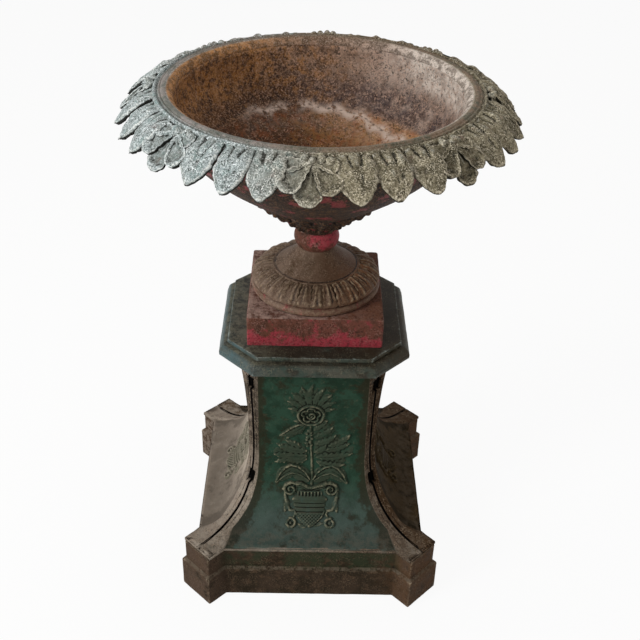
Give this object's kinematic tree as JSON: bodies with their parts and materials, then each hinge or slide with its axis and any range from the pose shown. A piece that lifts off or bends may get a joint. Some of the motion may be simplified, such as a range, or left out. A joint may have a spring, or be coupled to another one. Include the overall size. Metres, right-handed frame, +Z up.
{
  "type": "garden urn",
  "caption": "Cast-iron garden urn with an overhanging leaf rim, standing on a concave four-panel pedestal that the urn lifts off.",
  "frame": {"origin": "centre of the pedestal's base, on the ground", "axes": "+Z up along the common axis of pedestal and urn, -Y towards the front panel, +X to the right of it"},
  "size_m": [0.6314, 0.6314, 0.9405],
  "materials": {
    "rusty_base_iron": "rough, brown with pale dusty edges",
    "green_painted_iron": "worn dark green paint, greyer and speckled near the foot",
    "brown_painted_iron": "worn brown paint over rust",
    "grey_brown_iron": "chalky grey-brown weathered paint",
    "dark_green_iron": "dark green paint, worn pale on the moulded edge",
    "red_brown_painted_iron": "crimson paint worn to pinkish brown",
    "red_painted_iron": "crimson paint, scuffed",
    "rusty_bowl_iron": "rough rust inside, brown with crimson patches outside",
    "pale_patina_iron": "crusty white and pale green patina over dark green",
    "plain_fastener_iron": "dull dark iron"
  },
  "bodies": {
    "pedestal": {"base_frame": "rusty_base_iron", "panel_front": "green_painted_iron", "panel_right": "brown_painted_iron", "panel_back": "brown_painted_iron", "panel_left": "grey_brown_iron", "corner_bolts": "plain_fastener_iron", "corner_nuts": "plain_fastener_iron", "base_bolts": "plain_fastener_iron", "base_nuts": "plain_fastener_iron", "cap": "dark_green_iron", "cap_bolts": "plain_fastener_iron"},
    "urn": {"urn_foot": "red_brown_painted_iron", "knop": "red_painted_iron", "bowl": "rusty_bowl_iron", "leaf_rim": "pale_patina_iron", "rim_screws": "plain_fastener_iron", "tie_rod": "plain_fastener_iron", "tie_rod_nuts": "plain_fastener_iron", "tie_rod_washers": "plain_fastener_iron"}
  },
  "joints": [
    {"name": "urn_lift", "type": "slide", "parent": "pedestal", "child": "urn", "axis": [0, 0, 1], "range_m": [0, 0.15]}
  ]
}
